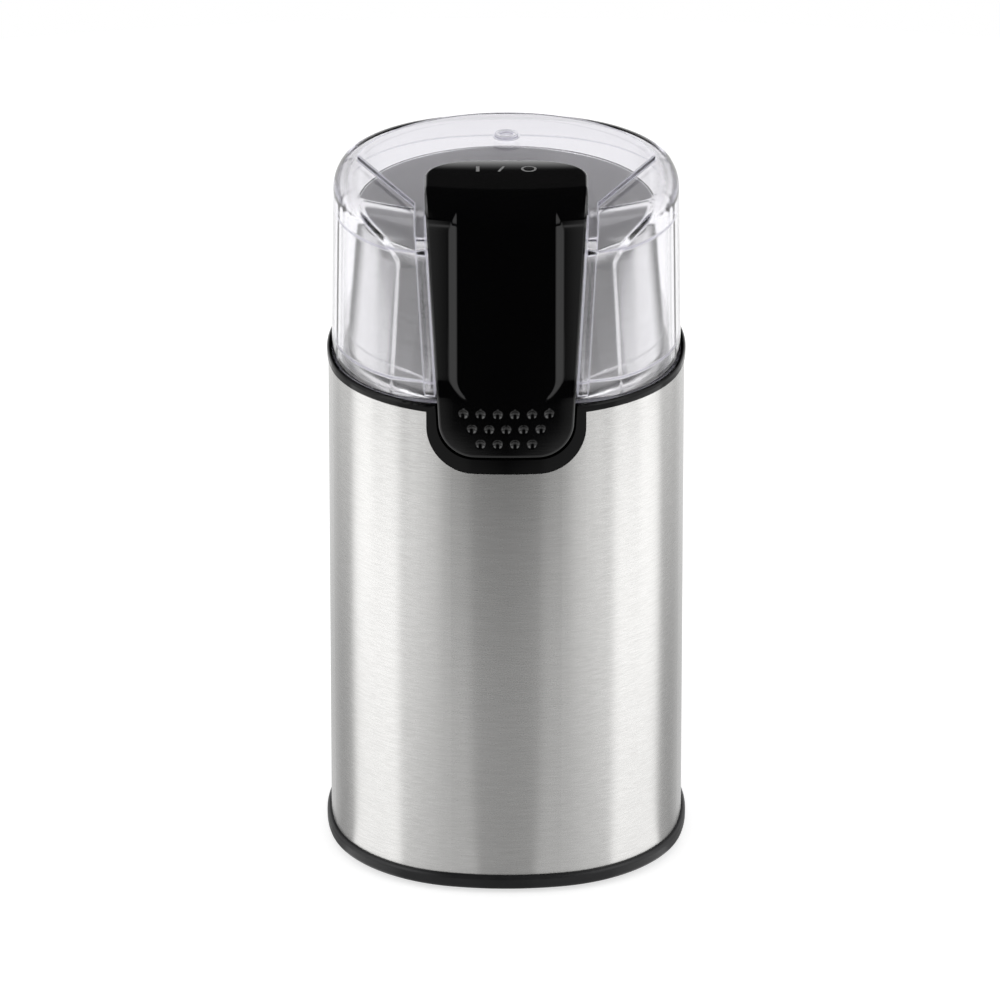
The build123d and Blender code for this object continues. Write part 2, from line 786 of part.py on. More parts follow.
def make_microswitch():
    """Snap switch with a well for its button, two screw holes and three blade terminals."""
    half = switch_length / 2
    switch = block(-half, half, switch_face, switch_rear, switch_low, switch_high)
    well_half = button_width / 2 + sliding_gap
    well_rise = button_height / 2 + sliding_gap
    switch -= block(-well_half, well_half, switch_face - overrun, switch_face + button_well,
                    rod_level - well_rise, rod_level + well_rise)
    for x, y in switch_screw_places:
        switch -= disc(switch_screw_radius + sliding_gap, switch_low - overrun, switch_high + overrun, x, y)
    for place in (-1, 0, 1):
        x = place * terminal_spacing
        switch += block(x - terminal_width / 2, x + terminal_width / 2,
                        switch_rear, switch_rear + terminal_length,
                        rod_level - terminal_thickness / 2, rod_level + terminal_thickness / 2)
    return switch


def make_switch_bracket():
    """Bridge that stands on the deck and holds the switch level with the rod."""
    half = switch_length / 2 + bracket_overhang
    plate_low = switch_low - bracket_plate
    bracket = block(-half, half, switch_face, switch_rear, plate_low, switch_low)
    for side in (-1, 1):
        ends = sorted((side * half, side * (half - bracket_leg)))
        bracket += block(ends[0], ends[1], switch_face, switch_rear, housing_top, plate_low)
    for x, y in switch_screw_places:
        bracket -= disc(switch_screw_radius + press_gap, plate_low - overrun, switch_low + overrun, x, y)
    return bracket


def make_switch_screws():
    """Screws through the switch into its bracket."""
    screws = []
    for x, y in switch_screw_places:
        head = disc(switch_screw_head_radius, switch_high, switch_high + switch_screw_head_height, x, y)
        screws.append(head + disc(switch_screw_radius, switch_low - switch_screw_bite, switch_high, x, y))
    return screws


leg_middle = stator_width / 2 - frame_leg_width / 2


def frame_bridge(bar_low, bar_top, leg_low, leg_high):
    """Cast bridge across the stator: a bar with a bearing hub and a leg at each end."""
    half = stator_width / 2
    wide = frame_bar_width / 2
    bridge = block(-half, half, -wide, wide, bar_low, bar_top)
    bridge += disc(frame_hub_radius, bar_low - frame_hub_rise, bar_top + frame_hub_rise)
    for side in (-1, 1):
        ends = sorted((side * half, side * (half - frame_leg_width)))
        bridge += block(ends[0], ends[1], -wide, wide, leg_low, leg_high)
    bore = shaft_radius + carrier_bore_gap
    return bridge - disc(bore, bar_low - frame_hub_rise - overrun, bar_top + frame_hub_rise + overrun)


upper_bearing_top = frame_top + frame_hub_rise
lower_bearing_low = lower_bar_low - frame_hub_rise


def make_motor_upper_frame():
    """Upper bridge, with the bearing let in from above."""
    frame = frame_bridge(upper_bar_low, frame_top, stator_top, upper_bar_low)
    seat = bearing_radius + press_gap
    frame -= disc(seat, upper_bearing_top - bearing_length, upper_bearing_top + overrun)
    for side in (-1, 1):
        frame -= disc(mount_screw_radius + press_gap, frame_top - mount_screw_bite, frame_top + overrun,
                      side * mount_spread)
        frame -= disc(tie_screw_radius + press_gap, stator_top - overrun, stator_top + tie_screw_bite,
                      side * leg_middle)
    return frame


holder_half_width = brush_width / 2 + brush_tube_gap + brush_tube_wall
holder_half_height = brush_depth / 2 + brush_tube_gap + brush_tube_wall
holder_start = commutator_radius + brush_tube_start
post_middle = holder_start + brush_tube_length / 2


def make_motor_lower_frame():
    """Lower bridge, with the bearing let in from below and two posts for the brush holders."""
    frame = frame_bridge(lower_bar_low, lower_bar_top, lower_bar_top, stator_low)
    frame -= disc(bearing_radius + press_gap, lower_bearing_low - overrun, lower_bearing_low + bearing_length)
    half = brush_post_width / 2
    reach = post_middle + brush_post_depth / 2
    for side in (-1, 1):
        frame -= disc(tie_screw_radius + sliding_gap, lower_bar_low - overrun, stator_low + overrun,
                      side * leg_middle)
        arm = sorted((side * (frame_hub_radius + bearing_radius) / 2, side * reach))
        frame += block(-half, half, arm[0], arm[1], lower_bar_low, lower_bar_top)
        post = sorted((side * (reach - brush_post_depth), side * reach))
        frame += block(-half, half, post[0], post[1], lower_bar_top, brush_level - holder_half_height)
    return frame


def make_upper_bearing():
    """Sintered bush in the upper bridge."""
    low = upper_bearing_top - bearing_length
    return tube(bearing_radius, shaft_radius + running_gap, low, upper_bearing_top)


def make_lower_bearing():
    """Sintered bush in the lower bridge."""
    high = lower_bearing_low + bearing_length
    return tube(bearing_radius, shaft_radius + running_gap, lower_bearing_low, high)


def make_motor_tie_screws():
    """Long screws that clamp the stator between the two bridges."""
    screws = []
    for side in (-1, 1):
        x = side * leg_middle
        head = disc(tie_screw_head_radius, lower_bar_low - tie_screw_head_height, lower_bar_low, x)
        screws.append(head + disc(tie_screw_radius, lower_bar_low, stator_top + tie_screw_bite, x))
    return screws


def make_motor_dampers():
    """Rubber rings between the upper bridge and the deck."""
    rings = []
    for side in (-1, 1):
        x = side * mount_spread
        rings.append(tube(damper_radius, mount_screw_radius + sliding_gap, frame_top, deck_low, x))
    return rings


def make_motor_mount_screws():
    """Screws through the deck and the dampers into the upper bridge."""
    screws = []
    for side in (-1, 1):
        x = side * mount_spread
        head = disc(mount_screw_head_radius, housing_top, housing_top + mount_screw_head_height, x)
        screws.append(head + disc(mount_screw_radius, frame_top - mount_screw_bite, housing_top, x))
    return screws


stator_bore = armature_radius + air_gap
window_half_width = stator_width / 2 - stator_yoke_side
window_half_depth = stator_depth / 2 - stator_yoke_end


def make_stator_core():
    """Laminated stack with two poles whose shoes curve round the armature."""
    plan = RectangleRounded(stator_width, stator_depth, stator_corner_radius)
    plan -= Rectangle(2 * window_half_width, 2 * window_half_depth)
    shoe_radius = stator_bore + pole_shoe_thickness
    spread = shoe_radius * tan(radians(pole_shoe_angle))
    for side in (-1, 1):
        reach = side * shoe_radius
        wedge = make_face(Polyline((0, 0), (reach, -spread), (reach, spread), close=True))
        plan += Circle(shoe_radius) & wedge
        middle = side * (stator_bore + window_half_width) / 2
        plan += Pos(X=middle) * Rectangle(window_half_width - stator_bore + overrun, 2 * pole_half_width)
    plan -= Circle(stator_bore)
    core = Pos(Z=stator_low) * extrude(plan, stator_height)
    for side in (-1, 1):
        x = side * leg_middle
        core -= disc(tie_screw_radius + sliding_gap, stator_low - overrun, stator_top + overrun, x)
    return core


def make_field_coil(side):
    """Wire bundle wound round one pole."""
    inner_width = 2 * (pole_half_width + coil_gap)
    inner_height = stator_height + 2 * coil_gap
    loop = RectangleRounded(inner_width + 2 * coil_bundle, inner_height + 2 * coil_bundle, coil_corner_radius)
    loop -= Rectangle(inner_width, inner_height)
    near = window_half_width - coil_gap - coil_thickness
    start = near if side > 0 else -near - coil_thickness
    middle = (stator_low + stator_top) / 2
    return Pos(start, 0, middle) * (Plane.YZ * extrude(loop, coil_thickness))


def make_brush_holders():
    """Square tubes, capped at the outer end, that guide the carbon brushes."""
    holders = []
    for side in (-1, 1):
        ends = sorted((side * holder_start, side * (holder_start + brush_tube_length + brush_cap)))
        holder = block(-holder_half_width, holder_half_width, ends[0], ends[1],
                       brush_level - holder_half_height, brush_level + holder_half_height)
        half_width = holder_half_width - brush_tube_wall
        half_height = holder_half_height - brush_tube_wall
        hole = sorted((side * (holder_start - overrun), side * (holder_start + brush_tube_length)))
        holders.append(holder - block(-half_width, half_width, hole[0], hole[1],
                                      brush_level - half_height, brush_level + half_height))
    return holders


brush_start = commutator_radius + brush_gap
brush_end = brush_start + brush_length


def make_carbon_brushes():
    """Carbon blocks that run on the commutator, hollowed to its curve."""
    brushes = []
    running_face = disc(brush_start, brush_level - brush_depth, brush_level + brush_depth)
    for side in (-1, 1):
        ends = sorted((side * (commutator_radius - commutator_slit_depth), side * brush_end))
        brush = block(-brush_width / 2, brush_width / 2, ends[0], ends[1],
                      brush_level - brush_depth / 2, brush_level + brush_depth / 2)
        brushes.append(brush - running_face)
    return brushes


def make_brush_springs():
    """Springs behind the brushes, as plain sleeves of their outer size."""
    springs = []
    for side in (-1, 1):
        ends = sorted((side * brush_end, side * (holder_start + brush_tube_length)))
        spring = rod_y(brush_spring_radius, ends[0], ends[1], 0, brush_level)
        bore = rod_y(brush_spring_bore, ends[0] - overrun, ends[1] + overrun, 0, brush_level)
        springs.append(spring - bore)
    return springs


carrier_top = bowl_floor + carrier_flange_height
spacer_low = carrier_top + spacer_lift
blade_low = spacer_low + spacer_height
blade_top = blade_low + blade_sheet
spigot_top = blade_top + blade_nut_thread
fan_top = lower_bearing_low - fan_gap
fan_low = fan_top - fan_disc - fan_depth


def make_motor_shaft():
    """Steel shaft, stepped down at the top for the blade."""
    return disc(shaft_radius, fan_low - shaft_tail, blade_low) + disc(spigot_radius, blade_low, spigot_top)


def make_armature_core():
    """Slotted laminated core."""
    core = tube(armature_radius, shaft_radius + press_gap, stator_low, stator_top)
    low = stator_low - overrun
    high = stator_top + overrun
    half = slot_width / 2
    slot = block(slot_floor_radius, armature_radius - slot_roof_depth, -half, half, low, high)
    half = slot_mouth / 2
    slot += block(slot_floor_radius, armature_radius + overrun, -half, half, low, high)
    for index in range(armature_slots):
        core -= Rot(Z=4 * quarter_turn * index / armature_slots) * slot
    return core


def make_armature_windings():
    """Wire in the slots, joined by the end turns above and below the core."""
    high = stator_top + winding_overhang
    windings = tube(winding_outer_radius, winding_inner_radius, winding_low, stator_low - winding_gap)
    windings += tube(winding_outer_radius, winding_inner_radius, stator_top + winding_gap, high)
    half = slot_width / 2 - winding_gap
    bar = block(slot_floor_radius + winding_gap, armature_radius - slot_roof_depth - winding_gap, -half, half,
                winding_low, high)
    for index in range(armature_slots):
        windings += Rot(Z=4 * quarter_turn * index / armature_slots) * bar
    return windings


def make_commutator():
    """Copper commutator with slits between its bars."""
    low = commutator_top - commutator_length
    drum_ring = tube(commutator_radius, shaft_radius + press_gap, low, commutator_top)
    slit = block(commutator_radius - commutator_slit_depth, commutator_radius + overrun, -commutator_slit / 2,
                 commutator_slit / 2, low - overrun, commutator_top + overrun)
    for index in range(commutator_bars):
        drum_ring -= Rot(Z=4 * quarter_turn * index / commutator_bars) * slit
    return drum_ring


def make_cooling_fan():
    """Radial fan on the lower end of the shaft."""
    fan = disc(fan_radius, fan_top - fan_disc, fan_top) + disc(fan_hub_radius, fan_low, fan_top)
    vane = block(0, fan_radius, -fan_blade / 2, fan_blade / 2, fan_low, fan_top - fan_disc)
    for index in range(fan_blades):
        fan += Rot(Z=4 * quarter_turn * index / fan_blades) * vane
    return fan - disc(shaft_radius + press_gap, fan_low - overrun, fan_top + overrun)


def make_blade_spacer():
    """Sleeve that lifts the blade off the bowl's floor."""
    return tube(spacer_radius, shaft_radius + press_gap, spacer_low, blade_low)


def make_blade():
    """Two-armed steel blade, one tip bent up and the other down."""
    blade = disc(blade_hub_radius, blade_low, blade_top)
    for arm, lean in ((0, -blade_bend_angle), (2 * quarter_turn, blade_bend_angle)):
        root = blade_arm_root / 2
        width = blade_arm_width / 2
        tip = blade_tip_width / 2
        plan = make_face(Polyline((0, -root), (blade_bend_radius, -width), (blade_bend_radius, width),
                                  (0, root), close=True))
        flat = Pos(Z=blade_low) * extrude(plan, blade_sheet)
        plan = make_face(Polyline((0, -width), (blade_tip_length, -tip), (blade_tip_length, tip), (0, width),
                                  close=True))
        bent = Pos(blade_bend_radius, 0, blade_low) * Rot(Y=lean) * extrude(plan, blade_sheet)
        knee = Pos(blade_bend_radius, 0, blade_low + blade_sheet / 2) * Rot(X=quarter_turn)
        knee *= Cylinder(blade_sheet / 2, blade_arm_width)
        blade += Rot(Z=arm) * (flat + bent + knee)
    return blade - disc(spigot_radius + press_gap, blade_low - overrun, blade_top + overrun)


def make_blade_nut():
    """Domed nut that holds the blade on the shaft."""
    high = spigot_top + blade_nut_dome
    nut = disc(blade_nut_radius, blade_top, high)
    nut = fillet(nut.edges().filter_by(GeomType.CIRCLE).sort_by(Axis.Z)[-1], blade_nut_dome)
    return nut - disc(spigot_radius + press_gap, blade_top - overrun, spigot_top)


def make_suppression_capacitor():
    """Small moulded capacitor on the deck."""
    half = capacitor_length / 2
    body = block(-half, half, capacitor_setback, capacitor_setback + capacitor_width,
                 housing_top, housing_top + capacitor_height)
    return fillet(body.edges().filter_by(Axis.Z), capacitor_round)


pieces = {
    "base_plate": make_base_plate(),
    "rubber_feet": make_rubber_feet(),
    "base_screws": make_base_screws(),
    "inner_housing": make_inner_housing(),
    "steel_sleeve": make_steel_sleeve(),
    "cord_gland": make_cord_gland(),
    "top_collar": make_top_collar(),
    "collar_screws": make_collar_screws(),
    "grinding_bowl": make_grinding_bowl(),
    "bowl_gasket": make_bowl_gasket(),
    "seal_carrier": make_seal_carrier(),
    "carrier_nut": make_carrier_nut(),
    "shaft_seal": make_shaft_seal(),
    "lid": make_lid(),
    "lever_pins": make_lever_pins(),
    "press_lever": make_press_lever(),
    "push_rod": make_push_rod(),
    "rod_spring": make_rod_spring(),
    "switch_button": make_switch_button(),
    "microswitch": make_microswitch(),
    "switch_bracket": make_switch_bracket(),
    "switch_screws": make_switch_screws(),
    "motor_upper_frame": make_motor_upper_frame(),
    "motor_lower_frame": make_motor_lower_frame(),
    "upper_bearing": make_upper_bearing(),
    "lower_bearing": make_lower_bearing(),
    "motor_tie_screws": make_motor_tie_screws(),
    "motor_dampers": make_motor_dampers(),
    "motor_mount_screws": make_motor_mount_screws(),
    "stator_core": make_stator_core(),
    "field_coil_left": make_field_coil(-1),
    "field_coil_right": make_field_coil(1),
    "brush_holders": make_brush_holders(),
    "carbon_brushes": make_carbon_brushes(),
    "brush_springs": make_brush_springs(),
    "motor_shaft": make_motor_shaft(),
    "armature_core": make_armature_core(),
    "armature_windings": make_armature_windings(),
    "commutator": make_commutator(),
    "cooling_fan": make_cooling_fan(),
    "blade_spacer": make_blade_spacer(),
    "blade": make_blade(),
    "blade_nut": make_blade_nut(),
    "suppression_capacitor": make_suppression_capacitor(),
}

os.makedirs("parts", exist_ok=True)
for name, piece in pieces.items():
    shape = Compound(children=piece) if isinstance(piece, list) else piece
    export_step(shape, f"parts/{name}.step")
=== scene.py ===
import bpy
import bmesh
from math import cos, pi, radians, sin, sqrt
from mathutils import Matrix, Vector


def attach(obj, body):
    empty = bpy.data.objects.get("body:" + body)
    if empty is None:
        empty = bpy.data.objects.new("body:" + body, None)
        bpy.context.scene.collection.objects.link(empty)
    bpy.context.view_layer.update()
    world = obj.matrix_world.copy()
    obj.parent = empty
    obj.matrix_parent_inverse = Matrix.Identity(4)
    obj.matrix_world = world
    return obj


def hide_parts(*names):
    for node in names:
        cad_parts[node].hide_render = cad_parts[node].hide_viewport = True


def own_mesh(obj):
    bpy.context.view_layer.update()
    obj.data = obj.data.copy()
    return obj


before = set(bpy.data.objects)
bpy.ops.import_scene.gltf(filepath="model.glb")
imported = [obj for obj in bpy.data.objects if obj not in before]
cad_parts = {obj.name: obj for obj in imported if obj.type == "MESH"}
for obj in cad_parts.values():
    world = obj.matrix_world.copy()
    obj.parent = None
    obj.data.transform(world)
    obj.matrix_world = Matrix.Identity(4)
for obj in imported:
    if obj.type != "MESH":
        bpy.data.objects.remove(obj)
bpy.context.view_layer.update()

# Base plate. A black moulded tray that closes the machine from below, with a rounded ring that shows under
# the steel. Fine spark-eroded grain on the tool leaves it satin and a little uneven.


class Wire:
    """One socket in a node tree. Sums on it add Math nodes, and any other node comes from add()."""

    def __init__(self, tree, socket=None):
        self.tree = tree
        self.socket = socket

    def add(self, kind, settings=None, inputs=None, out=0):
        made = self.tree.nodes.new(kind)
        for name, value in (settings or {}).items():
            if name == "stops":
                ramp = made.color_ramp.elements
                while len(ramp) < len(value):
                    ramp.new(0.5)
                for stop, (place, colour) in zip(ramp, value):
                    stop.position = place
                    stop.color = (*colour, 1.0)
            else:
                setattr(made, name, value)
        for name, value in (inputs or {}).items():
            if isinstance(value, Wire):
                self.tree.links.new(value.socket, made.inputs[name])
            else:
                made.inputs[name].default_value = value
        return Wire(self.tree, made.outputs[out])

    def math(self, operation, first, second=0.0):
        return self.add("ShaderNodeMath", {"operation": operation}, {0: first, 1: second})

    def __add__(self, other):
        return self.math("ADD", self, other)

    def __radd__(self, other):
        return self.math("ADD", other, self)

    def __sub__(self, other):
        return self.math("SUBTRACT", self, other)

    def __rsub__(self, other):
        return self.math("SUBTRACT", other, self)

    def __mul__(self, other):
        return self.math("MULTIPLY", self, other)

    def __rmul__(self, other):
        return self.math("MULTIPLY", other, self)

    def __truediv__(self, other):
        return self.math("DIVIDE", self, other)

    def __rtruediv__(self, other):
        return self.math("DIVIDE", other, self)

    def place(self):
        """Place on the object, in metres."""
        return self.add("ShaderNodeTexCoord", out="Object")

    def stretch(self, scale):
        """Place on the object, scaled apart along each axis."""
        return self.add("ShaderNodeVectorMath", {"operation": "MULTIPLY"}, {0: self.place(), 1: scale})

    def noise(self, scale, detail=3.0, stretch=(1.0, 1.0, 1.0)):
        return self.add("ShaderNodeTexNoise", None,
                        {"Vector": self.stretch(stretch), "Scale": scale, "Detail": detail})

    def ramp(self, low, high):
        """Nought below low, one above high and smooth between."""
        return self.add("ShaderNodeMapRange", {"interpolation_type": "SMOOTHSTEP"},
                        {"Value": self, "From Min": low, "From Max": high})

    def mix(self, low, high):
        """Colour between two colours, or between a colour and another socket."""
        return self.add("ShaderNodeMix", {"data_type": "RGBA"}, {0: self, 6: low, 7: high}, out=2)


def finish(name, fixed, varied):
    """Material whose varied sockets come from a function that is handed the node tree."""
    material = bpy.data.materials.new(name)
    material.use_nodes = True
    tree = material.node_tree
    shader = tree.nodes["Principled BSDF"]
    for socket, value in fixed.items():
        shader.inputs[socket].default_value = value
    for socket, value in varied(Wire(tree)).items():
        if socket == "Height":
            strength, distance, height = value
            value = height.add("ShaderNodeBump", None,
                               {"Strength": strength, "Distance": distance, "Height": height})
            socket = "Normal"
        tree.links.new(value.socket, shader.inputs[socket])
    return material


def dress(material, *names):
    """Gives CAD nodes a finish of their own."""
    for name in names:
        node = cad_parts[name]
        node.data.materials.clear()
        node.data.materials.append(material)


def satin_grain(tree):
    grain = tree.noise(2600.0, 4.0)
    patches = tree.noise(60.0, 3.0)
    return {
        "Base Color": patches.ramp(0.3, 0.7).mix((0.010, 0.010, 0.011, 1.0), (0.017, 0.017, 0.018, 1.0)),
        "Roughness": 0.30 + 0.10 * patches + 0.06 * grain,
        "Height": (0.12, 0.0002, grain),
    }


satin_black = finish("satin_black", {"IOR": 1.5, "Specular IOR Level": 0.25}, satin_grain)
dress(satin_black, "base_plate")

# Feet and base screws. Soft rubber pads are pressed into pockets of the base, and three zinc-plated screws
# hold it to the housing. The rubber is dull and a little dusty, the screw heads are turned.


def rubber_dust(tree):
    dust = tree.noise(420.0, 5.0)
    return {
        "Base Color": dust.ramp(0.45, 0.75).mix((0.014, 0.014, 0.014, 1.0), (0.034, 0.033, 0.032, 1.0)),
        "Roughness": 0.72 + 0.2 * dust,
        "Height": (0.3, 0.0003, dust),
    }


def plated_rings(tree):
    spots = tree.noise(900.0, 3.0)
    rings = tree.noise(300.0, 2.0, (1.0, 1.0, 40.0))
    return {
        "Base Color": spots.mix((0.46, 0.46, 0.48, 1.0), (0.62, 0.62, 0.60, 1.0)),
        "Roughness": 0.26 + 0.16 * rings,
        "Height": (0.1, 0.0001, rings),
    }


soft_rubber = finish("soft_rubber", {"IOR": 1.5}, rubber_dust)
plated_steel = finish("plated_steel", {"Metallic": 1.0}, plated_rings)
dress(soft_rubber, "rubber_feet")
dress(plated_steel, "base_screws")

# Inner housing. A black moulded tube, closed on top by the deck that carries the motor. It stands on the base
# plate and fills the steel sleeve, so only its inside and the deck would ever be seen.

dress(satin_black, "inner_housing")

# Motor frames and bearings. Two die-cast bridges clamp the stator with long screws, and each holds a sintered
# bush for the shaft. Rubber rings under the deck keep the hum from the casing.


def cast_skin(tree):
    skin = tree.noise(700.0, 5.0)
    return {
        "Base Color": skin.mix((0.50, 0.50, 0.51, 1.0), (0.64, 0.64, 0.64, 1.0)),
        "Roughness": 0.42 + 0.2 * skin,
        "Height": (0.35, 0.0003, skin),
    }


def bronze_pores(tree):
    pores = tree.noise(3200.0, 2.0)
    return {
        "Base Color": pores.ramp(0.35, 0.6).mix((0.20, 0.12, 0.05, 1.0), (0.52, 0.36, 0.17, 1.0)),
        "Roughness": 0.34 + 0.22 * pores,
        "Height": (0.3, 0.0001, pores),
    }


cast_alloy = finish("cast_alloy", {"Metallic": 1.0}, cast_skin)
sintered_bronze = finish("sintered_bronze", {"Metallic": 1.0}, bronze_pores)
dress(cast_alloy, "motor_upper_frame", "motor_lower_frame")
dress(sintered_bronze, "upper_bearing", "lower_bearing", "brush_holders")
dress(plated_steel, "motor_tie_screws", "motor_mount_screws")
dress(soft_rubber, "motor_dampers")

# Stator and armature. Both cores are stacks of thin varnished sheets, so their sides are finely striped, and
# enamelled copper wire is wound through them. The commutator's copper bars are turned smooth.


def sheet_stack(tree):
    sheets = tree.noise(1.0, 1.0, (30.0, 30.0, 2000.0))
    blue = tree.noise(90.0, 3.0)
    return {
        "Base Color": blue.mix((0.10, 0.11, 0.13, 1.0), (0.19, 0.18, 0.17, 1.0)),
        "Roughness": 0.35 + 0.25 * sheets,
        "Height": (0.5, 0.0003, sheets),
    }


def wound_wire(tree):
    turns = tree.noise(1.0, 1.0, (1700.0, 1700.0, 1700.0))
    varnish = tree.noise(120.0, 3.0)
    return {
        "Base Color": varnish.mix((0.30, 0.10, 0.03, 1.0), (0.56, 0.23, 0.08, 1.0)),
        "Roughness": 0.22 + 0.25 * turns,
        "Height": (0.6, 0.0003, turns),
    }


def turned_copper(tree):
    rings = tree.noise(1.0, 2.0, (10.0, 10.0, 2600.0))
    film = tree.noise(140.0, 3.0)
    return {
        "Base Color": film.mix((0.62, 0.29, 0.16, 1.0), (0.80, 0.46, 0.28, 1.0)),
        "Roughness": 0.18 + 0.2 * rings,
        "Height": (0.15, 0.0001, rings),
    }


core_sheets = finish("core_sheets", {"Metallic": 0.8}, sheet_stack)
copper_wire = finish("copper_wire", {"Metallic": 0.7}, wound_wire)
copper_bars = finish("copper_bars", {"Metallic": 1.0}, turned_copper)
dress(core_sheets, "stator_core", "armature_core")
dress(copper_wire, "field_coil_left", "field_coil_right", "armature_windings")
dress(copper_bars, "commutator")

# Fan, brushes and capacitor. The fan is a natural white moulding, the brushes are pressed carbon, and the
# capacitor is a small box of yellow resin on the deck.


def natural_moulding(tree):
    flow = tree.noise(45.0, 4.0)
    return {
        "Base Color": flow.mix((0.72, 0.71, 0.67, 1.0), (0.84, 0.83, 0.80, 1.0)),
        "Roughness": 0.38 + 0.14 * flow,
        "Height": (0.1, 0.0002, flow),
    }


def pressed_carbon(tree):
    grains = tree.noise(2400.0, 3.0)
    return {
        "Base Color": grains.mix((0.02, 0.02, 0.02, 1.0), (0.07, 0.07, 0.07, 1.0)),
        "Roughness": 0.45 + 0.3 * grains,
        "Height": (0.25, 0.0002, grains),
    }


def resin_box(tree):
    cloud = tree.noise(160.0, 3.0)
    return {
        "Base Color": cloud.mix((0.55, 0.44, 0.13, 1.0), (0.68, 0.56, 0.20, 1.0)),
        "Roughness": 0.3 + 0.15 * cloud,
        "Height": (0.1, 0.0002, cloud),
    }


white_moulding = finish("white_moulding", {"IOR": 1.5}, natural_moulding)
carbon_block = finish("carbon_block", {"IOR": 1.7}, pressed_carbon)
yellow_resin = finish("yellow_resin", {"IOR": 1.5}, resin_box)
dress(white_moulding, "cooling_fan")
dress(carbon_block, "carbon_brushes")
dress(yellow_resin, "suppression_capacitor")
dress(plated_steel, "brush_springs")

# Switch. A snap switch in a grey phenolic case stands on a moulded bridge behind the lever's pocket, and a
# white rod reaches it through the pocket's wall. A spring round the rod is pressed together by the lever.


def phenolic_case(tree):
    flecks = tree.noise(1300.0, 3.0)
    return {
        "Base Color": flecks.mix((0.05, 0.05, 0.055, 1.0), (0.10, 0.10, 0.105, 1.0)),
        "Roughness": 0.4 + 0.18 * flecks,
        "Height": (0.2, 0.0002, flecks),
    }


grey_phenolic = finish("grey_phenolic", {"IOR": 1.55}, phenolic_case)
dress(grey_phenolic, "microswitch", "switch_button")
dress(satin_black, "switch_bracket")
dress(white_moulding, "push_rod")
dress(plated_steel, "rod_spring", "switch_screws")
rod_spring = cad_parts["rod_spring"]
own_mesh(rod_spring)

# Steel sleeve. Stainless sheet, rolled to a rounded square, with a notch cut for the lever's pocket. It is
# brushed along the sheet before rolling, so the lines run level round the body.


def brushed_lines(tree):
    lines = tree.noise(1.0, 2.0, (190.0, 190.0, 2900.0))
    strokes = tree.noise(1.0, 1.0, (420.0, 420.0, 3600.0))
    haze = tree.noise(26.0, 3.0)
    return {
        "Base Color": (0.55 * lines + 0.45 * strokes).ramp(0.32, 0.68).mix(
            (0.575, 0.57, 0.56, 1.0), (0.64, 0.635, 0.625, 1.0)),
        "Roughness": 0.22 + 0.06 * strokes + 0.03 * haze,
        "Height": (0.012, 0.00002, strokes),
    }


brushed_steel = finish("brushed_steel", {"Metallic": 1.0, "Anisotropic": 0.9, "Anisotropic Rotation": 0.25},
                       brushed_lines)
dress(brushed_steel, "steel_sleeve")

# Cord gland. A black flanged bush with a slot through it, moulded in the same plastic as the base and pressed
# into a hole low on the back of the sleeve.

dress(satin_black, "cord_gland")

# Top collar. A glossy black moulding that seats the bowl, ends the steel sleeve with a thin rim and fills its
# notch with the lever's pocket. It is polished in the tool, and wiping leaves hair-fine marks.


def wiped_gloss(tree):
    wipes = tree.noise(1.0, 3.0, (300.0, 300.0, 2200.0))
    film = tree.noise(35.0, 4.0)
    return {
        "Base Color": film.mix((0.0008, 0.0008, 0.0009, 1.0), (0.0016, 0.0016, 0.0018, 1.0)),
        "Roughness": 0.05 + 0.03 * film + 0.02 * wipes,
        "Height": (0.02, 0.00005, wipes),
    }


collar_black = finish("collar_black", {"IOR": 1.5, "Specular IOR Level": 0.14}, wiped_gloss)
dress(collar_black, "top_collar")
dress(plated_steel, "collar_screws")

# Bowl and its fixing. The bowl is deep-drawn stainless with fine drawing lines, clamped over a rubber gasket
# by a turned carrier and its nut, with a lip seal round the shaft. Its outer side flares down to a thin
# flange inside the lid's foot.


def drawn_lines(tree):
    wall_inside, wall_middle = 0.0369, 0.0372
    lines = tree.noise(1.0, 3.0, (40.0, 40.0, 1500.0))
    haze = tree.noise(40.0, 3.0)
    level = tree.stretch((1.0, 1.0, 0.0))
    spread = tree.add("ShaderNodeVectorMath", {"operation": "LENGTH"}, {0: level}, out=1)
    inside = 1.0 - spread.ramp(wall_inside, wall_middle)
    return {
        "Base Color": lines.mix((0.60, 0.60, 0.60, 1.0), (0.68, 0.68, 0.68, 1.0)),
        "Metallic": 1.0 - 0.40 * inside,
        "Roughness": 0.11 + 0.05 * lines + 0.03 * haze + 0.14 * inside,
        "Height": (0.02, 0.00002, lines),
    }


def lathe_lines(tree):
    rings = tree.noise(1.0, 2.0, (60.0, 60.0, 1800.0))
    return {
        "Base Color": rings.mix((0.50, 0.50, 0.50, 1.0), (0.62, 0.62, 0.62, 1.0)),
        "Roughness": 0.22 + 0.12 * rings,
        "Height": (0.1, 0.00006, rings),
    }


drawn_steel = finish("drawn_steel", {"Metallic": 1.0, "Anisotropic": 0.5, "Anisotropic Rotation": 0.25},
                     drawn_lines)
turned_steel = finish("turned_steel", {"Metallic": 1.0}, lathe_lines)
dress(drawn_steel, "grinding_bowl")
dress(turned_steel, "seal_carrier", "carrier_nut", "motor_shaft", "blade_spacer")
dress(soft_rubber, "bowl_gasket", "shaft_seal")


